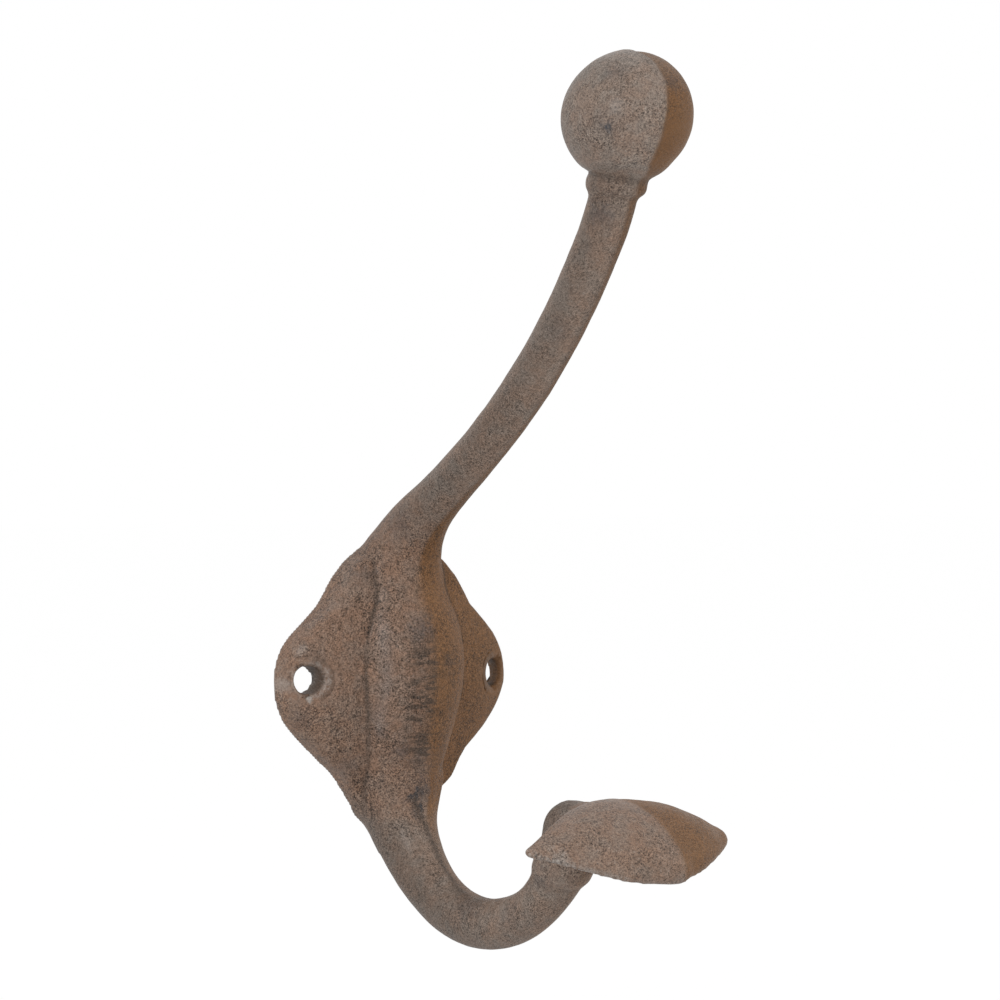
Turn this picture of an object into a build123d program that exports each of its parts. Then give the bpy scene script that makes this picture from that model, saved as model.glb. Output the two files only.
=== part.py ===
from build123d import *
from math import cos, exp, radians, sin, tan
import os

os.makedirs("parts", exist_ok=True)

# The wall is the plane y = 0, the hook stands out from it along -Y, and +Z is up.
# The origin lies on the wall, midway between the two screw holes. All sizes are in millimetres.

# Plate that lies on the wall
ear_x = 14.9
ear_z = -1.0
ear_r = 13.0
ear_upper_angle = 48.0
ear_lower_angle = 47.0
shoulder_x = 16.8
shoulder_z = 15.3
gable_x = 10.2
gable_z = 22.8
plate_top_z = 30.0
skirt_x = 13.8
skirt_z = -19.0
foot_x = 6.2
foot_z = -28.6
plate_foot_z = -33.0
gable_round = 4.0
plate_crown = 11.0
dome_r = 60.0
dome_z = 3.5
plate_wall = 3.6
plate_rim = 2.0
plate_edge_round = 2.4

# Screw holes
hole_x = 23.2
hole_r = 2.7
sink_r = 4.6
sink_angle = 90.0

# Spine: one bar that is stoutest at the boss and slims down along both arms
boss_out = 3.0
boss_z = 3.0
boss_r = 14.0

# Upper arm, which leans out of the boss and bends up into the ball
spring_z = 11.8
spring_r = 26.3
rise_angle = 36.4
rise_length = 17.05
sweep_r = 141.4
sweep_angle = 22.2
bend_r = 64.1
bend_angle = 23.4
rise_bar_r = 4.3
rise_top_r = 4.6
rise_flare = 21.5

# Lower arm, which drops out of the boss and runs round the crook up to the stem
drop_z = -15.5
drop_r = 33.3
drop_turn = 47.8
crook_r = 26.6
crook_turn = 117.7
crook_bar_r = 5.0
drop_flare = 26.0
neck_r = 4.45
neck_back = 17.5
neck_length = 10.0
stem_end_r = 5.8

# Ball and the bead under it
ball_r = 12.5
bead_r = 5.9
bead_height = 4.0
bead_drop = 13.0

# Leaf-shaped head at the end of the lower arm
leaf_out = 74.6
leaf_z = -28.2
leaf_tilt = 32.8
leaf_half_width = 26.2
leaf_edge_angle = 29.6
leaf_nose_r = 23.2
leaf_dome = 5.8
leaf_rim = 1.2
leaf_tip_r = 1.6
leaf_joint_back = 2.0
leaf_joint_r = 5.0

side_plane = Plane((0, 0, 0), x_dir=(0, -1, 0), z_dir=(-1, 0, 0))
leaf_plane = Plane(
    (0, -leaf_out, leaf_z),
    x_dir=(1, 0, 0),
    z_dir=(0, -sin(radians(leaf_tilt)), cos(radians(leaf_tilt))),
)

# Plate: a rounded lozenge whose front is a shallow dome
with BuildPart() as plate:
    with BuildSketch(Plane.XZ) as plate_outline:
        with BuildLine():
            ear = CenterArc((ear_x, ear_z), ear_r, -ear_lower_angle, ear_lower_angle + ear_upper_angle)
            shoulder = TangentArc(ear @ 1, (shoulder_x, shoulder_z), tangent=ear % 1)
            skirt = TangentArc(ear @ 0, (skirt_x, skirt_z), tangent=-(ear % 0))
            gable = FilletPolyline(shoulder @ 1, (gable_x, gable_z), (0, plate_top_z), radius=gable_round)
            foot = FilletPolyline(skirt @ 1, (foot_x, foot_z), (0, plate_foot_z), radius=gable_round)
            Line(gable @ 1, foot @ 1)
        make_face()
        mirror(about=Plane.YZ)
    extrude(amount=2 * plate_crown)
    with Locations((0, dome_r - plate_crown, dome_z)):
        Sphere(dome_r, mode=Mode.INTERSECT)
    dome_edges = plate.faces().filter_by(GeomType.SPHERE)[0].edges()
    fillet(dome_edges.filter_by_position(Axis.Z, skirt_z, plate_top_z), plate_edge_round)

# Hollow in the back of the plate, which leaves a rim that touches the wall
with BuildPart() as hollow:
    with BuildSketch(Plane.XZ):
        offset(plate_outline.sketch, amount=-plate_rim)
    extrude(amount=plate_crown)
    with Locations((0, dome_r - plate_crown, dome_z)):
        Sphere(dome_r - plate_wall, mode=Mode.INTERSECT)

# Spine: the centre line of the upper arm, the boss and the lower arm
with BuildLine() as upper_line:
    upright = Line((boss_out, boss_z), (boss_out, spring_z))
    spring = JernArc(upright @ 1, upright % 1, spring_r, rise_angle - 90)
    rise = PolarLine(spring @ 1, rise_length, rise_angle)
    sweep_up = JernArc(rise @ 1, rise % 1, sweep_r, sweep_angle)
    JernArc(sweep_up @ 1, sweep_up % 1, bend_r, bend_angle)
with BuildLine() as lower_line:
    downright = Line((boss_out, boss_z), (boss_out, drop_z))
    drop = JernArc(downright @ 1, downright % 1, drop_r, drop_turn)
    JernArc(drop @ 1, drop % 1, crook_r, crook_turn)
upper_path = side_plane * upper_line.wire()
lower_path = side_plane * lower_line.wire()


def upper_radius(along):
    """Thickness of the spine at a distance up from the boss."""
    bar = rise_bar_r + (rise_top_r - rise_bar_r) * along / upper_path.length
    return bar + (boss_r - rise_bar_r) * exp(-((along / rise_flare) ** 2))


def lower_radius(along):
    """Thickness of the spine at a distance down from the boss."""
    to_end = lower_path.length - along
    root = (boss_r - crook_bar_r) * exp(-((along / drop_flare) ** 2))
    neck = (neck_r - crook_bar_r) * exp(-(((to_end - neck_back) / neck_length) ** 2))
    stem = (stem_end_r - crook_bar_r) * exp(-((to_end / neck_length) ** 2))
    return crook_bar_r + root + neck + stem


# Spine: round sections along both halves of the centre line, joined in one smooth skin
with BuildPart() as spine:
    for step in range(16, 0, -1):
        place = step / 16
        with BuildSketch(Plane(lower_path @ place, x_dir=(1, 0, 0), z_dir=-(lower_path % place))):
            Circle(lower_radius(place * lower_path.length))
    for step in range(21):
        place = step / 20
        with BuildSketch(Plane(upper_path @ place, x_dir=(1, 0, 0), z_dir=upper_path % place)):
            Circle(upper_radius(place * upper_path.length))
    loft()
    with Locations(lower_path @ 1):
        Sphere(stem_end_r)

# Ball with the bead that it stands on
ball_centre = upper_path @ 1
ball_axis = upper_path % 1
bead_centre = upper_path @ (1 - bead_drop / upper_path.length)
with BuildPart() as ball:
    with BuildSketch(Plane(bead_centre, z_dir=ball_axis)):
        Circle(bead_r)
    extrude(amount=bead_height / 2, both=True)
    fillet(ball.edges(), bead_height / 3)
    with Locations(ball_centre):
        Sphere(ball_r)

# Leaf: a rounded lozenge with a domed face and a thin rim, modelled lying flat
leaf_depth = leaf_half_width * tan(radians(leaf_edge_angle))
leaf_nose = leaf_depth - leaf_nose_r * (1 / cos(radians(leaf_edge_angle)) - 1)
with BuildPart() as leaf:
    with BuildSketch() as leaf_half:
        with BuildLine():
            Polyline((leaf_half_width, 0), (0, leaf_depth), (-leaf_half_width, 0), close=True)
        make_face()
        fillet(leaf_half.vertices().sort_by(Axis.Y)[-1], leaf_nose_r)
    revolve(axis=Axis.X, revolution_arc=180)
    scale(by=(1, 1, leaf_dome / leaf_nose))
    with BuildSketch() as leaf_outline:
        add(leaf_half.sketch)
        mirror(leaf_half.sketch, about=Plane.XZ)
        tips = leaf_outline.vertices().sort_by(Axis.X)
        fillet([tips[0], tips[-1]], leaf_tip_r)
    extrude(amount=-leaf_rim)
    extrude(leaf_outline.sketch, amount=leaf_dome + leaf_rim, both=True, mode=Mode.INTERSECT)

# Joint that carries the leaf on the rounded end of the stem
joint_start = lower_path @ 1
joint_end = leaf_plane.from_local_coords((0, leaf_joint_back, 0))
with BuildPart() as leaf_joint:
    with BuildSketch(Plane(joint_start, x_dir=(1, 0, 0), z_dir=joint_end - joint_start)):
        Circle(stem_end_r)
    with BuildSketch(Plane(joint_end, x_dir=(1, 0, 0), z_dir=joint_end - joint_start)):
        Circle(leaf_joint_r)
    loft()
    with Locations(joint_end):
        Sphere(leaf_joint_r)

# The casting: all of it in one piece, flat where it meets the wall, with two countersunk holes
with BuildPart() as wall_hook:
    add(plate.part)
    add(hollow.part, mode=Mode.SUBTRACT)
    add(spine.part)
    add(ball.part)
    add(leaf_joint.part)
    add(leaf_plane * leaf.part)
    split(bisect_by=Plane.XZ, keep=Keep.TOP)
    sink_level = plate_crown - dome_r + (dome_r**2 - hole_x**2 - dome_z**2) ** 0.5
    with Locations(Plane.XZ.offset(sink_level)):
        with Locations((-hole_x, 0), (hole_x, 0)):
            CounterSinkHole(hole_r, sink_r, counter_sink_angle=sink_angle)

wall_hook.part.label = "wall_hook"
export_step(wall_hook.part, "parts/wall_hook.step")
print("wall_hook volume", wall_hook.part.volume, "solids", len(wall_hook.solids()))
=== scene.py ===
# %% [markdown]
# # A cast iron hat and coat hook
# The hook is one piece of sand-cast iron: a plate with two screw holes, a stout spine, an upper arm with a
# ball and a lower arm with a leaf-shaped head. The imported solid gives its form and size. This script gives
# it what a mould leaves behind, the soft creases, the seam and the sandy skin, and then its rust and light.

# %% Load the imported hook
import math

import bmesh
import bpy
import numpy as np
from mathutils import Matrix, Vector, noise


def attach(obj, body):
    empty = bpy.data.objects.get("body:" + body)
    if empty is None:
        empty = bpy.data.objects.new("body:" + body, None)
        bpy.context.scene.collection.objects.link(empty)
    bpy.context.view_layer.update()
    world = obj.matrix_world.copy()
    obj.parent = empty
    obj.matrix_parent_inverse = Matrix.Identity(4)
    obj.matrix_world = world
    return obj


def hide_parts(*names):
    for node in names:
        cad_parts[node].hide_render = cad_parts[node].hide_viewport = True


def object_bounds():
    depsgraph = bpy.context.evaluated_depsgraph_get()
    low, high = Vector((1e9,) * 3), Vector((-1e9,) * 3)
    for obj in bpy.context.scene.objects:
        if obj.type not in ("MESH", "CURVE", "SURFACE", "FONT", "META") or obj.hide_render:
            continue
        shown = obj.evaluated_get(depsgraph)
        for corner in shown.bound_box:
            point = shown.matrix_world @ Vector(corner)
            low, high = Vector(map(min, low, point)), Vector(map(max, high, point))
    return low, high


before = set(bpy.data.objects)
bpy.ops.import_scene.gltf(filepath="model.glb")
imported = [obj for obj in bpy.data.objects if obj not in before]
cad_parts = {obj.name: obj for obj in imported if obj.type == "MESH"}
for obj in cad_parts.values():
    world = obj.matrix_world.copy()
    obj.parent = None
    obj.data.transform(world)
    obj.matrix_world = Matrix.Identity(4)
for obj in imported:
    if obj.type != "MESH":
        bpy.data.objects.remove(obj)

cad_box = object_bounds()
print("hook box, metres:", cad_box)

# %% [markdown]
# ## Where the camera stands
# The picture was taken from the hook's left, level with its middle and from far enough away that the
# arms show little perspective. A long lens at 0.9 m gives that, so the camera is set up first and every later
# choice is judged through it.

# %% Camera
view_turn = math.radians(-40.0)
view_rise = math.radians(1.0)
view_distance = 0.9
look_at = Vector((0.0, -0.035875, 0.0354))
towards_camera = Vector((
    math.sin(view_turn) * math.cos(view_rise),
    -math.cos(view_turn) * math.cos(view_rise),
    math.sin(view_rise),
))
camera_data = bpy.data.cameras.new("camera")
camera_data.sensor_width = 36.0
camera_data.lens = 167.5
camera_data.clip_start = 0.01
camera = bpy.data.objects.new("camera", camera_data)
camera.location = look_at + view_distance * towards_camera
camera.rotation_euler = (-towards_camera).to_track_quat("-Z", "Y").to_euler()
bpy.context.scene.collection.objects.link(camera)
bpy.context.scene.camera = camera
print("camera at", tuple(round(c, 4) for c in camera.location))

# %% [markdown]
# ## The skin of the casting
# A CAD solid meets itself in sharp lines, but molten iron leaves every inner corner soft. The solid's mesh is
# copied and merged, then a remesh turns it into one even skin that can be smoothed and pushed about like clay.
# Its cells are about half a millimetre, and its sharp mode keeps the screw holes and the rims of the leaf.

# %% Skin: copy, merge and remesh
MM = 0.001

shape = bmesh.new()
shape.from_mesh(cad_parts["wall_hook"].data)
bmesh.ops.remove_doubles(shape, verts=shape.verts, dist=0.002 * MM)
solid_mesh = bpy.data.meshes.new("hook_casting_solid")
shape.to_mesh(solid_mesh)
shape.free()
casting = bpy.data.objects.new("hook_casting", solid_mesh)
bpy.context.scene.collection.objects.link(casting)

remesh = casting.modifiers.new("skin", "REMESH")
remesh.mode = "SHARP"
remesh.octree_depth = 9
remesh.scale = 0.6
skin_mesh = bpy.data.meshes.new_from_object(casting.evaluated_get(bpy.context.evaluated_depsgraph_get()))
casting.modifiers.clear()
casting.data = skin_mesh
bpy.data.meshes.remove(solid_mesh)
skin_mesh.polygons.foreach_set("use_smooth", np.ones(len(skin_mesh.polygons), dtype=bool))
print("skin has", len(skin_mesh.vertices), "points and", len(skin_mesh.polygons), "faces")

# %% [markdown]
# ## Tools for working the skin
# The skin is worked as one table of points in millimetres. Each point knows the points that an edge joins it to,
# so it can be moved towards their mean, which smooths, or its height above them can be measured, which tells a
# rim from a hollow. The points that touch the wall are noted first, so that they can be laid flat again at the end.

# %% Tools: points and their neighbours
count = len(skin_mesh.vertices)
points = np.empty(count * 3)
skin_mesh.vertices.foreach_get("co", points)
points = points.reshape(-1, 3) / MM
links = np.empty(len(skin_mesh.edges) * 2, dtype=np.int32)
skin_mesh.edges.foreach_get("vertices", links)
links = links.reshape(-1, 2)
degree = np.bincount(links.ravel(), minlength=count)
flat_back = points[:, 1] > -0.1
print(int(flat_back.sum()), "points touch the wall")


def neighbour_mean(values):
    """Mean of a table of values over the neighbours of each point."""
    columns = [
        np.bincount(links[:, 0], weights=column[links[:, 1]], minlength=count)
        + np.bincount(links[:, 1], weights=column[links[:, 0]], minlength=count)
        for column in values.T
    ]
    return np.stack(columns, axis=1) / degree[:, None]


def relax(values, share, times):
    """Values moved a share of the way to their neighbours' mean, some times over."""
    for _ in range(times):
        values = values + share * (neighbour_mean(values) - values)
    return values


# %% Tools: normals, heights and soft steps
def point_normals():
    """Normals of the skin at the points as they now are."""
    skin_mesh.vertices.foreach_set("co", (points * MM).ravel())
    skin_mesh.update()
    normals = np.empty(count * 3)
    skin_mesh.vertex_normals.foreach_get("vector", normals)
    return normals.reshape(-1, 3)


def standing_height(rings):
    """Height of each point above its surroundings, in millimetres."""
    return ((points - relax(points, 1.0, rings)) * point_normals()).sum(axis=1)


def smooth_step(low, high, values):
    """0 below low, 1 above high and smooth between them."""
    t = np.clip((values - low) / (high - low), 0.0, 1.0)
    return t * t * (3.0 - 2.0 * t)


def band(rise_from, rise_to, fall_from, fall_to, values):
    """1 within a range with soft ends and 0 outside it."""
    return smooth_step(rise_from, rise_to, values) * (1.0 - smooth_step(fall_from, fall_to, values))


def bell(distance, width):
    """1 on a line and fading away from it on both sides."""
    return np.exp(-((distance / width) ** 2))


# %% [markdown]
# ## Soft creases
# Smoothing alone would shrink the hook, so each small step in is followed by a slightly larger step out, which
# evens the skin and keeps its size. The creases are then found as the places that lie below their surroundings.
# Only those are smoothed for good, with the bead under the ball, the foot of the plate and its edge at the wall.

# %% Creases: even the skin
step_in, step_out = 0.50, -0.52


def even(values, share, times):
    """Values smoothed by steps in and out, so that the form keeps its size."""
    for _ in range(times):
        values = relax(values, step_in * share, 1)
        values = relax(values, step_out * share, 1)
    return values


points = even(points, 1.0, 8)
points = relax(points, 0.30, 1)
# The crease along the boss is kept for painted shade.
boss_crease_shade = np.clip(-standing_height(2) / 0.08, 0.0, 1.0)
boss_crease_shade = boss_crease_shade * (np.abs(points[:, 2]) < 24) * (points[:, 1] > -14)
print("the crease along the boss takes in", int((boss_crease_shade > 0.5).sum()), "points")

# %% Creases: soften the hollows
crease = np.clip(-standing_height(3) / 0.10, 0.0, 1.0)[:, None]
crease = np.clip(relax(crease, 0.8, 2) * 1.5, 0.0, 1.0)
points = relax(points, 0.5 * crease, 2)
bead = band(90.0, 93.0, 97.0, 100.0, points[:, 2]) * (points[:, 1] < -55)
plate_foot = band(-38.0, -34.0, -24.0, -18.0, points[:, 2]) * (points[:, 1] > -11)
back_edge = 0.6 * (points[:, 1] > -0.9)
softened = np.maximum(np.maximum(bead, plate_foot), back_edge)
points = relax(points, 0.5 * softened[:, None], 8)
print("creases cover", round(float((crease > 0.3).mean()), 3), "of the skin")

# %% [markdown]
# ## Worn countersinks
# The countersinks have filled up towards the middle of the plate: there the hole goes straight up and ends in a
# small chamfer under the domed face. Points on a cone are moved along that profile, which is quicker than cutting
# a new hole and keeps the even skin. The foot of each hole is opened a little towards its ear.

# %% Countersinks: a straight wall and a small chamfer
hole_x, hole_r, sink_r, throat = 23.2, 2.7, 4.6, 4.32
wall_end, chamfer_end = 0.45, 0.70
chamfer_r, chamfer_depth = 3.5, 0.9
dome_r, dome_crown, dome_z = 60.0, 11.0, 3.5
edge_x, edge_r = 25.5, 2.4
for side in (-1, 1):
    from_axis = side * points[:, 0] - hole_x
    away = np.maximum(np.hypot(from_axis, points[:, 2]), 0.5)
    out = -points[:, 1]
    t = np.clip((away - hole_r) / (sink_r - hole_r), 0.0, 1.0)
    radius = np.interp(t, (0.0, wall_end, chamfer_end, 1.0), (hole_r, hole_r, chamfer_r, sink_r))
    new_x = hole_x + from_axis * radius / away
    new_z = points[:, 2] * radius / away
    aside, above = np.clip(new_x, 0, 30), np.clip(new_z - dome_z, -40, 40)
    dome = dome_crown - dome_r + np.sqrt(dome_r**2 - aside**2 - above**2)
    past_edge = np.clip(new_x - edge_x, 0.0, edge_r)
    dome = dome - edge_r + np.sqrt(edge_r**2 - past_edge**2)
    up_wall = np.clip(t / wall_end, 0.0, 1.0)
    up_chamfer = np.clip((t - wall_end) / (chamfer_end - wall_end), 0.0, 1.0)
    level = throat + up_wall * (dome - chamfer_depth - throat) + up_chamfer * chamfer_depth
    on_cone = (away < sink_r) & (out > throat - 0.1) & (level > out)
    points[on_cone] = np.stack((side * new_x, -level, new_z), axis=1)[on_cone]
    hole_foot = (away < 3.6) & (out < 1.7) & (from_axis > 0.5)
    points[hole_foot, 0] += side * 0.8
    points[:, 1] += 0.9 * (1.0 - smooth_step(2.9, 4.0, away)) * (from_axis < -0.3) * (out < 3.95)
    print("hole at x =", side * hole_x, "has", int(on_cone.sum()), "points on its new wall")

# %% [markdown]
# ## Plate outline
# The waist between the ears and the ends of the plate is a little deeper than the solid's, and not the same on
# both sides, as hand-made patterns are. The move is given outward in millimetres at a few heights, and fades
# towards the spine, so that only the outline changes.

# %% Plate outline: waists and bulges
heights = (-31.5, -27.5, -25.0, -20.7, -14.9, -9.1, -2.0, 8.3, 14.1, 19.9, 25.7, 31.0)
left_move = (0.2, 0.9, 0.4, 0.1, 0.1, 0.0, 0.0, 0.4, -0.3, 0.7, 0.4, 0.0)
right_move = (0.2, 0.5, 0.9, 1.4, -1.2, -0.8, 0.4, 0.0, -0.9, 0.4, 0.3, 0.0)
x, out, z = points[:, 0].copy(), -points[:, 1], points[:, 2]
fade_end = 4.5 + 3.5 * smooth_step(-26.0, -21.0, z)
share = smooth_step(2.0, fade_end, np.abs(x)) * (1.0 - smooth_step(8.0, 10.5, out)) * (np.abs(z) < 35)
outward = np.where(x < 0, -np.interp(z, heights, left_move), np.interp(z, heights, right_move))
points[:, 0] += share * outward
print("the plate is now", round(float(np.ptp(points[(np.abs(z) < 35) & (out < 10), 0])), 1), "mm wide")

# %% [markdown]
# ## Leaf tips
# The two tips of the leaf are not alike: the right one is worn round and a little short, the left one is drawn out
# to a low, thin point. The leaf has its own directions, one out along its slope and one up from its face, and the
# points are moved along them. The rim is then evened, because the remesh leaves small teeth on a thin slanted edge.

# %% Leaf tips: one round, one drawn out
slope = math.radians(32.8)
leaf_centre = np.array((0.0, -74.6, -28.2))
leaf_front = np.array((0.0, -math.cos(slope), -math.sin(slope)))
leaf_up = np.array((0.0, -math.sin(slope), math.cos(slope)))
on_leaf = smooth_step(58.0, 64.0, -points[:, 1]) * (points[:, 2] < 0)
x = points[:, 0].copy()
forward = (points - leaf_centre) @ leaf_front
rise = (points - leaf_centre) @ leaf_up
right_tip = np.clip((x - 8.0) / 18.2, 0.0, 1.0) * on_leaf
left_tip = np.clip((-x - 17.0) / 9.2, 0.0, 1.0) * on_leaf
fuller = (1.0 - 0.98 * right_tip) ** -0.16 - 1.0 - 0.45 * left_tip**4
nose = 0.6 * band(-3.0, 3.0, 5.5, 7.0, x) * smooth_step(6.0, 10.0, forward) * on_leaf
crown = 0.6 * band(5.0, 13.0, 17.0, 26.0, x) * smooth_step(0.0, 2.0, rise) * on_leaf
points[:, 0] -= 1.9 * right_tip**3 + 1.2 * left_tip**2 + 1.7 * left_tip**6
points += (fuller * forward + nose)[:, None] * leaf_front
points += (crown - (0.9 + 0.7 * rise) * left_tip**2)[:, None] * leaf_up
leaf_x = points[on_leaf > 0.5, 0]
print("the leaf reaches from x =", round(float(leaf_x.min()), 1), "to", round(float(leaf_x.max()), 1), "mm")

# %% Leaf rim: evened
points = even(points, on_leaf[:, None], 6)
leaf_rim = on_leaf * band(-2.5, -1.5, 0.4, 1.4, rise) * (1.0 - 0.7 * left_tip)
points = relax(points, 0.5 * leaf_rim[:, None], 8)
points = points + 0.3 * leaf_rim[:, None] * point_normals()
print("leaf rim takes in", int((leaf_rim > 0.5).sum()), "points")

# %% [markdown]
# ## Two halves of a mould
# The mould closed on the middle plane of the hook, and its halves did not meet exactly. The line where they met
# wanders: it is given at a few heights of the spine, slants over the leaf and curls over the ball. The distance to
# the right of that seam is kept for every point, because the rust differs from one side to the other.

# %% Mould halves: the seam
x, out, z = points[:, 0], -points[:, 1], points[:, 2]
on_ball = smooth_step(95.5, 99.0, z) * (out > 55)
on_boss = (1.0 - smooth_step(14.0, 24.0, np.abs(z - 1.0))) * (out < 20)


def lumps(size, shift):
    """Smooth noise at each point, with lumps of a size in millimetres."""
    return np.array([noise.noise(point / size + Vector(shift)) for point in map(Vector, points)])


spine_heights = (-42.0, -34.0, -28.0, -22.0, -17.0, -12.0, 24.0, 45.0, 66.0, 80.0, 91.0)
spine_seam = (-0.9, 0.9, 0.7, 2.0, 0.9, -1.3, -1.6, 0.3, 0.9, 0.7, 0.3)
seam_line = np.interp(z, spine_heights, spine_seam)
seam_line = np.where((out > 40) & (z < 0), -0.7, seam_line)
seam_line = np.where(on_leaf > 0.5, 1.2 + 0.23 * (out - 73.3), seam_line)
ball_seam = -1.3 + 0.8 * np.tanh((z - 108.5) / 4.0)
seam_line = seam_line + on_ball * (ball_seam - seam_line)
wobble = lumps(4.0, (2.0, 9.0, 4.0))
seam = x - seam_line + wobble * (0.7 * on_ball + 0.5 * on_leaf)
seam_width = 0.6 + 2.0 * on_boss + 0.3 * on_leaf
right_half = smooth_step(-1.0, 1.0, seam / seam_width)
print("right of the seam:", round(float(right_half.mean()), 3), "of the points")

# %% [markdown]
# The left half stands proud of the right half, most of all on the ball, where it also sits lower. The stem flares
# into a low collar under the leaf, and the sand leaves the whole skin slowly uneven. All of that is one push along
# the normals. At the end the points that touch the wall are laid flat again.

# %% Mould halves: step, collar and unevenness
step_down = 0.12 + 0.33 * on_ball + 0.15 * on_boss
step_length = 2.5 + 3.5 * np.maximum(on_ball, on_boss)
ridge = 0.08 * bell(seam, 0.8) - step_down * right_half * np.exp(-np.maximum(seam, 0.0) / step_length)

collar = 0.336 * (out - 54.1) + 0.94 * (z + 37.05)
on_stem = (out > 44) * (z < -24) * (1.0 - on_leaf)
flare = 0.6 * band(-0.8, 1.8, 3.0, 6.0, collar) * on_stem

slow = lumps(9.0, (0.0, 0.0, 0.0))
quick = lumps(2.6, (7.0, 3.0, 5.0))
push = ridge + flare + 0.12 * slow + 0.04 * quick
points = points + point_normals() * push[:, None]
points[:, 2] += 0.07 * x * smooth_step(95.0, 99.0, z) * on_ball
points[flat_back, 1] = 0.0
points[:, 1] = np.minimum(points[:, 1], 0.0)
print("points were pushed by", round(float(push.min()), 2), "to", round(float(push.max()), 2), "mm")

# %% [markdown]
# ## Parts of the hook
# The rust is not the same on every part: the ball and the leaf are handled most, the arms are greyer, and the plate
# is coarser. Soft masks say how far each point belongs to a part, so that one finish can cover the hook without
# a hard edge between its parts.

# %% Parts: soft masks
handled = on_ball * (0.25 + 0.75 * bell(seam + 2.0, 4.0)) + 0.65 * on_leaf
upper_arm = smooth_step(26.0, 40.0, z) * (1.0 - on_ball)
low_bar = 1.0 - smooth_step(-32.0, -24.0, z)
far_bar = smooth_step(30.0, 36.0, out) * (z < 10)
lower_arm = np.maximum(low_bar, far_bar) * (1.0 - on_leaf)
root = band(20.0, 26.0, 34.0, 42.0, z)
# The right of the plate is marked for a painted shadow of the boss.
shaded_right_plate = smooth_step(12.5, 13.5, x) * (out < 9) * (np.abs(z) < 35)
ball_foot = on_ball * right_half * (1.0 - smooth_step(105.0, 111.0, z))
stub = smooth_step(48.0, 52.0, out) * smooth_step(-32.0, -27.0, z) * (1.0 - on_leaf) * (z < 0)
on_plate = (1.0 - smooth_step(22.0, 34.0, np.abs(z))) * (1.0 - smooth_step(18.0, 26.0, out))
for part, mask in (("upper arm", upper_arm), ("lower arm", lower_arm), ("plate", on_plate)):
    print(part, "takes in", int((mask > 0.5).sum()), "points")

# %% [markdown]
# ## Tone
# The fronts of the arms are paler than their sides, in a band that runs along each arm; this is painted light and
# shade. The way a point's normal turns to the left or right tells where it lies across the arm, so a short table
# from turn to shade lays that band along the whole arm, however it bends. Painted shade also darkens the faces of
# the lower arm that look down or towards the wall, and the right of the plate in the boss's shadow.

# %% Tone: parts, then bands along the arms
tone = 1.0 + 0.30 * handled * (1.0 - right_half)
# Painted shadow: the right of the plate is darkened where the boss shades it.
tone = tone + 0.08 * on_plate - 0.12 * shaded_right_plate - 0.08 * root - 0.34 * stub
tone = tone + lower_arm * (0.19 * smooth_step(28.0, 44.0, out) - 0.07 - 0.05 * smooth_step(-3.0, 0.5, seam))

# Painted light and shade: across the upper arm the lightness follows how the normal turns, as the light fell.
normals = point_normals()
turn = normals[:, 0]
front = smooth_step(-0.4, 0.0, -0.82 * normals[:, 1] - 0.57 * normals[:, 2])
upper_turns = (-1.0, -0.9, -0.75, -0.5, -0.3, -0.12, 0.03, 0.3, 1.0)
upper_painted_shades = (0.80, 0.80, 0.92, 1.06, 1.20, 1.24, 1.02, 0.90, 0.87)
upper_painted_shade = np.interp(turn, upper_turns, upper_painted_shades)
tone = tone + upper_arm * (front * (upper_painted_shade - 1.0) + 0.03 * (1.0 - front))

# Painted shade on the lower arm: light and shade across its front by the normal's turn, darker on faces looking
# down.
drop = (1.0 - smooth_step(-28.0, -22.0, z)) * (1.0 - smooth_step(20.0, 32.0, out))
inner = smooth_step(-0.1, 0.1, 0.5 * normals[:, 2] - 0.87 * normals[:, 1])
drop_turns = (-1.0, -0.93, -0.80, -0.65, -0.47, -0.25, -0.1, 0.5, 1.0)
drop_painted_shades = (0.78, 0.84, 0.99, 1.05, 1.16, 1.25, 1.28, 1.25, 1.10)
drop_painted_shade = np.interp(turn, drop_turns, drop_painted_shades)
tone = tone * (1.0 + drop * (inner * (drop_painted_shade - 1.0) - 0.15 * (1.0 - inner)))
tone = tone + right_half * (0.12 * on_leaf + 0.06 * on_ball + 0.10 * on_boss)
tone = tone + 0.10 * bell(collar - 1.2, 1.0) * on_stem
print("mean tone", round(float(tone.mean()), 3))

# %% [markdown]
# ## Grey, grain and orange rust
# The arms and the ball have lost some of their red. The grain is strongest on the plate and nearly gone round the
# screw holes and under the right of the ball. Right of the seam the rust is orange, less so on the lower arm and
# on the faces that look at the wall.

# %% Grey, grain and orange rust
grey = 0.7 * upper_arm + 0.75 * lower_arm + 0.9 * on_ball + 0.3 * on_leaf + 0.5 * stub
hole_away = np.hypot(np.abs(points[:, 0]) - hole_x, points[:, 2])
near_hole = 1.0 - smooth_step(4.4, 5.6, hole_away)
texture = 1.0 + 0.30 * on_plate - 0.10 * upper_arm - 0.65 * ball_foot
texture = texture * (1.0 - 0.65 * near_hole)
right_rust = 1.0 - 0.15 * upper_arm - 0.65 * lower_arm - 0.15 * on_leaf - 0.08 * on_boss - 0.30 * stub
right_rust = right_rust - 0.35 * on_ball * smooth_step(110.0, 118.0, z)
facing_wall = smooth_step(0.3, 0.8, normals[:, 1]) * (1.0 - on_ball)
right_rust = right_rust * (1.0 - 0.7 * facing_wall)
print("orange rust covers", round(float((right_half * right_rust > 0.5).mean()), 3), "of the points")

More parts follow.
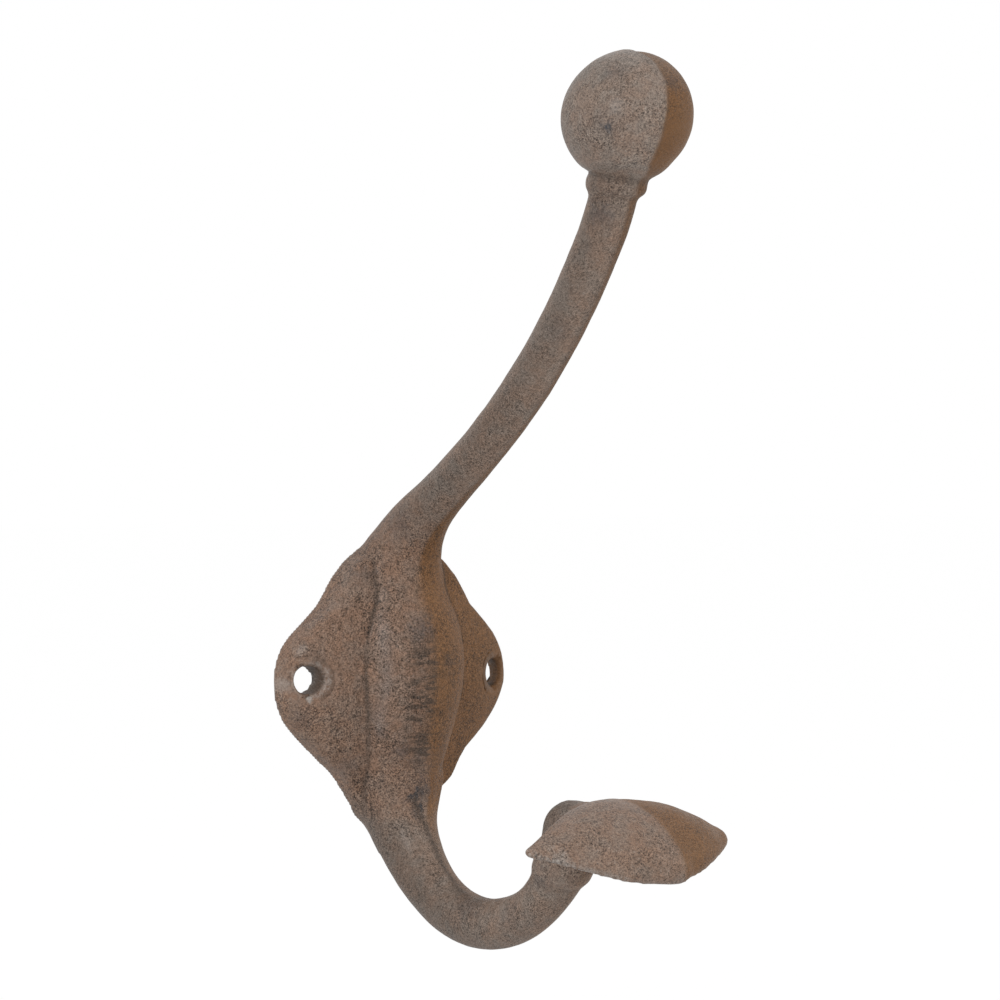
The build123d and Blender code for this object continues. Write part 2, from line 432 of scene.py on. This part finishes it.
# %% [markdown]
# ## Rims, hollows and lines
# Handling rubs the rims bright, and the hollows are darkened as painted shade. The height above the surroundings
# tells which is which. A few lines are too fine to be found that way and are drawn by their distance: painted shade
# in the crease along the boss, down the lower arm and under the collar, the pale edges of the boss, which are
# painted highlight and partly wear, and the pale rim of the leaf. The insides of the screw holes get painted shade.

# %% Rims, hollows and lines
wide = relax(standing_height(6)[:, None], 0.7, 3)[:, 0]
close = relax(standing_height(2)[:, None], 0.4, 1)[:, 0]
leaf_rise = (points - leaf_centre) @ leaf_up
rim_band = on_leaf * (x < -8) * band(-2.0, -1.6, -0.3, 0.1, leaf_rise)
# The insides of the screw holes are marked for painted shade.
in_hole = 1.0 - smooth_step(2.75, 3.0, hole_away)
on_chamfer = band(2.85, 3.05, 3.6, 3.9, hole_away) * (points[:, 0] < 0)
# The groove under the ball's bead is marked for painted shade.
groove = band(94.0, 95.5, 97.0, 98.5, z) * (out > 55)

line_heights = (-42.5, -39.0, -36.3, -32.9, -29.3, -27.1, -24.0)
line_x = np.interp(z, line_heights, (-2.0, 0.2, 0.4, 0.6, 0.1, -0.9, -1.8))
# A painted shade line down the front of the lower arm, along a crease.
arm_shade_line = bell(x - line_x, 0.8) * smooth_step(0.0, 0.3, -normals[:, 1])
arm_shade_line = arm_shade_line * (1.0 - smooth_step(-25.0, -22.0, z)) * (1.0 - smooth_step(26.0, 36.0, out))
# A painted shade line under the collar.
collar_shade_line = bell(collar + 0.5, 0.6) * on_stem
# Pale lines along both edges of the boss: painted highlight, partly wear.
boss_edge_wear_and_highlight = bell(x - 10.6, 0.5) + 0.7 * bell(x + 9.8, 1.0)
boss_edge_wear_and_highlight = boss_edge_wear_and_highlight * (1.0 - smooth_step(12.0, 20.0, np.abs(z - 2.0))) * smooth_step(9.0, 10.5, out)
# Painted shade in the crease along the boss, stronger in its upper part.
boss_crease_shade = boss_crease_shade * (0.30 + 0.50 * smooth_step(-14.0, -4.0, z))
print("heights run from", round(float(wide.min()), 2), "to", round(float(wide.max()), 2), "mm")

# %% [markdown]
# ## Attributes
# A material can't see these tables, so each is stored on the skin as a named attribute, one number a point. The
# finish below reads them by their names, and they move with the hook wherever it goes.

# %% Attributes
attributes = {
    "rim": np.clip((wide - 0.16) / 0.30 + 0.6 * on_chamfer + 0.9 * rim_band, 0.0, 1.0),
    # pale lines on the boss: painted highlight, partly wear
    "edge": boss_edge_wear_and_highlight,
    # painted shade in the hollows and in the groove under the ball
    "hollow": np.clip((-close - 0.012) / 0.05 + 0.5 * groove, 0.0, 1.0),
    # painted shade inside the screw holes
    "hole_shade": in_hole,
    "right": right_half * right_rust,
    "seam": seam,
    "handled": handled,
    # lightness by part, with painted light and shade across the arms and a painted shadow on the right of the plate
    "tone": tone,
    "grey": np.clip(grey, 0.0, 1.0),
    "texture": texture,
    # painted shade lines: the crease along the boss, down the lower arm and under the collar
    "crease": boss_crease_shade + 1.4 * arm_shade_line + 0.4 * collar_shade_line,
}
for name, values in attributes.items():
    layer = skin_mesh.attributes.new(name, "FLOAT", "POINT")
    layer.data.foreach_set("value", values.astype(np.float32))
    print(name, "from", round(float(values.min()), 2), "to", round(float(values.max()), 2))

# %% [markdown]
# ## Shader maths in plain Python
# A finish is built from many small sums. One class wraps a socket so that sums can be written with the usual
# signs, and one method makes any other node, so the finish below reads like a recipe.

# %% Shader helpers: sums
class Value:
    """A node's output that can be used in a sum."""

    def __init__(self, finish, socket):
        self.finish = finish
        self.socket = socket

    def sum(self, operation, first, second):
        return self.finish.node("ShaderNodeMath", {"operation": operation}, {0: first, 1: second})

    def __add__(self, other):
        return self.sum("ADD", self, other)

    def __radd__(self, other):
        return self.sum("ADD", other, self)

    def __sub__(self, other):
        return self.sum("SUBTRACT", self, other)

    def __rsub__(self, other):
        return self.sum("SUBTRACT", other, self)

    def __mul__(self, other):
        return self.sum("MULTIPLY", self, other)

    def __rmul__(self, other):
        return self.sum("MULTIPLY", other, self)


# %% Shader helpers: nodes
class Finish:
    """A node tree, the one method that adds nodes to it and a few common nodes."""

    def __init__(self, tree):
        self.tree = tree
        self.tree.nodes.clear()

    def node(self, kind, settings=None, inputs=None, output=0):
        """A node of any kind: its settings first, then the values or links of its sockets."""
        made = self.tree.nodes.new(kind)
        for name, setting in (settings or {}).items():
            setattr(made, name, setting)
        for key, value in (inputs or {}).items():
            if isinstance(value, Value):
                self.tree.links.new(value.socket, made.inputs[key])
            else:
                made.inputs[key].default_value = value
        return Value(self, made.outputs[output]) if made.outputs else None

    def blend(self, factor, first, second):
        """One colour over another, by a factor. Sockets 6 and 7 are the Mix node's two colours."""
        settings = {"data_type": "RGBA", "clamp_factor": True}
        return self.node("ShaderNodeMix", settings, {0: factor, 6: first, 7: second}, output=2)

    def shade(self, colour, factor):
        """A colour made lighter or darker by a factor."""
        return self.node("ShaderNodeVectorMath", {"operation": "SCALE"}, {0: colour, 3: factor})

    def step(self, value, low, high):
        """0 below low, 1 above high and smooth between them."""
        settings = {"interpolation_type": "SMOOTHSTEP"}
        return self.node("ShaderNodeMapRange", settings, {0: value, 1: low, 2: high, 3: 0.0, 4: 1.0})

    def speckle(self, place, scale, detail, roughness, distortion=0.0):
        """Noise with a scale in steps per millimetre."""
        inputs = {"Vector": place, "Scale": scale, "Detail": detail}
        inputs.update({"Roughness": roughness, "Distortion": distortion})
        return self.node("ShaderNodeTexNoise", {}, inputs)


# %% [markdown]
# ## Rusted iron
# The iron has been left to rust and then oiled: a brown coat with redder and greyer mottles, a sandy grain of about
# half a millimetre with dark pores, pale rubbed rims and a few dark smudges of bare iron. Painted shade darkens the
# hollows, the creases and the screw holes, and painted glints light the grain. The right half is smoother and more
# orange. Every layer is a noise in millimetres of the hook's own space, so the pattern stays on the hook from any
# side.

# %% Rusted iron: noises
iron_material = bpy.data.materials.new("rusted_iron")
iron_material.use_nodes = True
iron = Finish(iron_material.node_tree)

object_place = iron.node("ShaderNodeTexCoord", output="Object")
place = iron.node("ShaderNodeVectorMath", {"operation": "SCALE"}, {0: object_place, 3: 1.0 / MM})
painted = {name: iron.node("ShaderNodeAttribute", {"attribute_name": name}, output="Fac") for name in attributes}

clouds = iron.step(iron.speckle(place, 0.055, 3.0, 0.6), 0.38, 0.62)
mottles = iron.step(iron.speckle(place, 0.30, 3.0, 0.6), 0.36, 0.66)
patches = iron.step(iron.speckle(place, 0.16, 2.0, 0.5), 0.35, 0.65)
grain = iron.speckle(place, 3.2, 1.0, 0.6)
sand = iron.speckle(place, 1.2, 3.0, 0.7)
broken = iron.speckle(place, 0.7, 4.0, 0.7)
pores = iron.step(iron.speckle(place, 2.1, 2.0, 0.6, 0.3), 0.58, 0.68)
glints = iron.step(iron.speckle(place, 2.3, 2.0, 0.6), 0.60, 0.70)
print("finish reads", len(painted), "attributes")

# %% Rusted iron: coat of rust
rust_red = (0.222, 0.134, 0.090, 1)
rust_grey = (0.194, 0.161, 0.137, 1)
rust_orange = (0.168, 0.078, 0.026, 1)

colour = iron.blend(mottles * 0.35 + clouds * 0.15 + painted["grey"] * 0.55, rust_red, rust_grey)
colour = iron.blend(painted["right"] * 0.90, colour, rust_orange)
colour = iron.shade(colour, painted["tone"])
print("coat of rust has", len(iron_material.node_tree.nodes), "nodes so far")

# %% [markdown]
# ### Smudges, worn places and painted glints
# Dark smudges of bare iron lie where dirt was wiped off or never took, and a few places are pale: the rim of the
# left ear and one place on the ball are worn, and the lower edge of the left countersink, the leaf's left tip and
# the top of its right half are painted glints and highlights. Each is a soft ball in the hook's space, broken up
# by noise: three numbers for its centre, one for its radius and one for its strength.

# %% Rusted iron: smudges and worn places
smudges = (
    (-8.2, -77.9, 115.6, 3.0, 0.35), (-10.4, -79.3, 105.1, 1.3, 0.90), (2.0, -83.7, 113.6, 2.4, 0.40),
    (-2.8, -15.6, 10.2, 3.6, 0.60), (-5.7, -12.1, -14.2, 2.4, 0.50), (-1.5, -13.0, -15.0, 1.8, 0.40),
    (0.1, -11.8, -22.6, 3.0, 0.65), (-11.3, -7.1, 20.6, 2.8, 0.30), (-10.6, -10.3, -6.5, 2.2, 0.25),
    (-9.4, -10.4, -10.2, 2.4, 0.30), (-13.4, -5.6, -17.4, 3.0, 0.30), (3.6, -16.6, 3.2, 2.4, 0.35),
    (-5.6, -12.0, 30.0, 4.0, 0.30), (-4.5, -44.2, -45.0, 4.5, 0.25), (-4.9, -53.6, -36.6, 2.8, 0.35),
    (-3.2, -57.4, 67.9, 3.0, 0.25), (-3.3, -30.7, -43.3, 4.0, 0.35), (-24.5, -4.5, -7.5, 3.0, 0.30),
    (-4.0, -69.8, 89.2, 3.5, 0.45), (-22.0, -6.0, 4.5, 2.0, 0.20), (-1.8, -12.0, -24.5, 2.6, 0.60),
    (-0.9, -12.3, -27.1, 1.6, 0.50), (-9.5, -78.5, 106.5, 4.5, 0.15),
)
# Pale places: worn on the left ear and the ball, painted glints and highlights at the countersink and on the leaf.
wear_and_glint_places = (
    (-27.6, -2.4, -1.0, 3.2, 0.35), (-25.0, -5.4, 6.0, 1.6, 0.30), (-20.5, -77.4, -29.7, 2.4, 0.40),
    (-23.3, -5.4, -3.7, 0.9, 0.90), (-12.0, -80.5, 110.5, 2.0, 0.25), (8.5, -72.7, -22.0, 3.5, 0.16),
    (13.0, -74.8, -24.2, 3.5, 0.18), (17.5, -76.8, -26.7, 3.5, 0.16),
)


def spots(places):
    """The cover of a list of soft balls, broken up by noise."""
    cover = 0.0
    for *centre, size, strength in places:
        away = iron.node("ShaderNodeVectorMath", {"operation": "DISTANCE"}, {0: place, 1: centre}, output=1)
        ragged = away + (broken - 0.5) * (size * 3.0)
        cover = cover + (1.0 - iron.step(ragged, 0.0, size * 1.2)) * strength
    return cover


smudge = spots(smudges)
wear_and_glints = spots(wear_and_glint_places)
print(len(smudges), "smudges and", len(wear_and_glint_places), "worn places")

# %% [markdown]
# ### File strokes
# The seam was filed down on the front of the boss. That leaves short dark strokes across it, so a noise is
# stretched sideways with a Mapping node and kept near the seam and to the boss.

# %% Rusted iron: file strokes
stroke_scale = (0.22, 0.22, 1.1)
strokes_place = iron.node("ShaderNodeMapping", {}, {0: place, 3: stroke_scale})
strokes = iron.step(iron.speckle(strokes_place, 1.0, 3.0, 0.5), 0.50, 0.57)
y_mm, z_mm = (iron.node("ShaderNodeSeparateXYZ", {}, {0: place}, output=axis) for axis in "YZ")
right_of_seam = painted["seam"]
filed = iron.step(right_of_seam, -6.0, -3.0) * (1.0 - iron.step(right_of_seam, 0.5, 2.0) * 0.7)
filed = filed * (1.0 - iron.step(right_of_seam, 6.0, 9.0))
filed = filed * iron.step(z_mm, -20.0, -15.0) * (1.0 - iron.step(z_mm, 4.0, 10.0))
filed = filed * iron.step(y_mm, -26.0, -22.0) * (1.0 - iron.step(y_mm, -10.0, -9.0))
print("strokes are about", round(1.0 / stroke_scale[0], 1), "mm long")

# %% [markdown]
# ### Layers over the rust
# The layers go on in this order: the pale edges of the boss, painted highlight and partly wear, and the smudges,
# the file, painted shade in the hollows, creases and screw holes, the rubbing of hands with painted glints, and
# last the pores and the grain, which break up everything below them.

# %% Rusted iron: layers
bare_iron = (0.055, 0.054, 0.058, 1)
pore_brown = (0.060, 0.042, 0.031, 1)
hollow_brown = (0.070, 0.050, 0.038, 1)
rubbed_iron_and_glint = (0.37, 0.345, 0.32, 1)
edge_wear_and_highlight_grey = (0.200, 0.190, 0.186, 1)

rim, right_side, handled_share = painted["rim"], painted["right"], painted["handled"]
# Pale lines along the boss's edges: painted highlight, partly wear.
colour = iron.blend(painted["edge"] * 0.35, colour, edge_wear_and_highlight_grey)
colour = iron.blend(smudge, colour, bare_iron)
colour = iron.shade(colour, 1.0 - filed * 0.18)
colour = iron.blend(filed * strokes * 0.72, colour, pore_brown)
# Painted shade in the hollows, the groove and the creases.
colour = iron.blend(painted["hollow"] * 0.4 + painted["crease"] * 0.55, colour, hollow_brown)
# Painted shade inside the screw holes.
colour = iron.blend(painted["hole_shade"] * 0.8, colour, pore_brown)
colour = iron.blend(rim * 0.45 * iron.step(sand, 0.35, 0.60), colour, rubbed_iron_and_glint)
# Painted glints on the grain, more on rims and handled parts, then the pale places, worn ones and painted glints.
bright = glints * (0.16 + rim * 0.4 + handled_share * 0.16) * (1.0 - right_side * 0.6)
colour = iron.blend(bright + wear_and_glints, colour, rubbed_iron_and_glint)
contrast = painted["texture"] * (0.7 + patches * 0.5) * (1.0 - right_side * 0.15)
colour = iron.blend(pores * contrast * 0.55, colour, pore_brown)
colour = iron.shade(colour, 1.0 + ((grain - 0.5) * 2.2 + (sand - 0.5) * 1.2) * contrast)
print("layers bring it to", len(iron_material.node_tree.nodes), "nodes")

# %% [markdown]
# ### Shader
# The grain also stands up from the surface, so it goes to a bump node as well as to the colour. The oiled rust is a
# little shinier where it is rubbed, and a thin coat lies over the ball and the leaf.

# %% Rusted iron: shader
relief = (grain * 0.8 + sand * 0.9 - pores * 0.3) * contrast
bump = iron.node("ShaderNodeBump", {}, {"Strength": 1.0, "Distance": 0.4 * MM, "Height": relief})
shader = iron.node("ShaderNodeBsdfPrincipled", {}, {
    "Base Color": colour,
    "Roughness": 0.62 - rim * 0.12 + (sand - 0.5) * 0.2,
    "Normal": bump,
    "Specular IOR Level": 0.25,
    "Coat Weight": (0.10 + handled_share * 0.20) * (1.0 - right_side * 0.8),
    "Coat Roughness": 0.25,
})
iron.node("ShaderNodeOutputMaterial", {}, {"Surface": shader})
skin_mesh.materials.clear()
skin_mesh.materials.append(iron_material)

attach(casting, "root")
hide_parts("wall_hook")
print("finish has", len(iron_material.node_tree.nodes), "nodes")

# %% [markdown]
# ## A white studio
# The background is pure white. The floor and the world look white to the camera and in reflections, but they
# light the hook only softly, so that the iron keeps its own colour. A small share of the floor stays plain paper,
# which keeps the hook's shadow.

# %% Floor
floor_drop = 0.03
floor_shape = bmesh.new()
bmesh.ops.create_grid(floor_shape, x_segments=1, y_segments=1, size=4.0)
bmesh.ops.translate(floor_shape, verts=floor_shape.verts, vec=(0, 0, cad_box[0][2] - floor_drop))
floor_mesh = bpy.data.meshes.new("studio_floor")
floor_shape.to_mesh(floor_mesh)
floor_shape.free()
floor = bpy.data.objects.new("studio_floor", floor_mesh)
bpy.context.scene.collection.objects.link(floor)


def seen_directly(finish):
    """1 for rays from the camera and for what the hook mirrors."""
    seen = finish.node("ShaderNodeLightPath", output="Is Camera Ray")
    for name in ("Is Glossy Ray", "Is Transmission Ray"):
        seen = seen.sum("MAXIMUM", seen, finish.node("ShaderNodeLightPath", output=name))
    return seen


white = (1, 1, 1, 1)
glow_share = 0.94
floor_material = bpy.data.materials.new("studio_floor")
floor_material.use_nodes = True
paper = Finish(floor_material.node_tree)
paper_plain = paper.node("ShaderNodeBsdfDiffuse", {}, {"Color": (0.8, 0.8, 0.8, 1)})
paper_glow = paper.node("ShaderNodeEmission", {}, {"Color": white, "Strength": 1.03})
glow = seen_directly(paper) * glow_share
paper_mix = paper.node("ShaderNodeMixShader", {}, {0: glow, 1: paper_plain, 2: paper_glow})
paper.node("ShaderNodeOutputMaterial", {}, {"Surface": paper_mix})
floor_mesh.materials.append(floor_material)
print("floor at z =", round(cad_box[0][2] - floor_drop, 4))

# %% World
soft_light = 0.62
world = bpy.data.worlds.new("studio")
world.use_nodes = True
bpy.context.scene.world = world
sky = Finish(world.node_tree)
sky_light = sky.node("ShaderNodeBackground", {}, {"Color": white, "Strength": soft_light})
sky_white = sky.node("ShaderNodeBackground", {}, {"Color": white, "Strength": 1.0})
sky_mix = sky.node("ShaderNodeMixShader", {}, {0: seen_directly(sky), 1: sky_light, 2: sky_white})
sky.node("ShaderNodeOutputWorld", {}, {"Surface": sky_mix})
print("world lights the hook at", soft_light)

# %% [markdown]
# ## Lamps
# A large soft lamp stands to the hook's left and draws the grain out. A weaker, warmer one on the right keeps the
# far sides of the ball and the boss from going black.

# %% Lamps
def soft_lamp(name, stand, size, power, tint):
    """A round lamp that looks at the middle of the hook."""
    data = bpy.data.lights.new(name, "AREA")
    data.shape = "DISK"
    data.size = size
    data.energy = power
    data.color = tint
    lamp = bpy.data.objects.new(name, data)
    lamp.location = stand
    lamp.rotation_euler = (look_at - lamp.location).to_track_quat("-Z", "Y").to_euler()
    bpy.context.scene.collection.objects.link(lamp)
    print(name, "at", tuple(round(c, 2) for c in lamp.location), "power", power)


soft_lamp("key_lamp", (-0.95, -0.55, 0.55), 0.4, 6.0, (1.0, 0.98, 0.96))
soft_lamp("warm_lamp", (0.9, -0.45, 0.1), 0.6, 1.6, (1.0, 0.75, 0.50))

bpy.context.scene.view_settings.view_transform = "Standard"
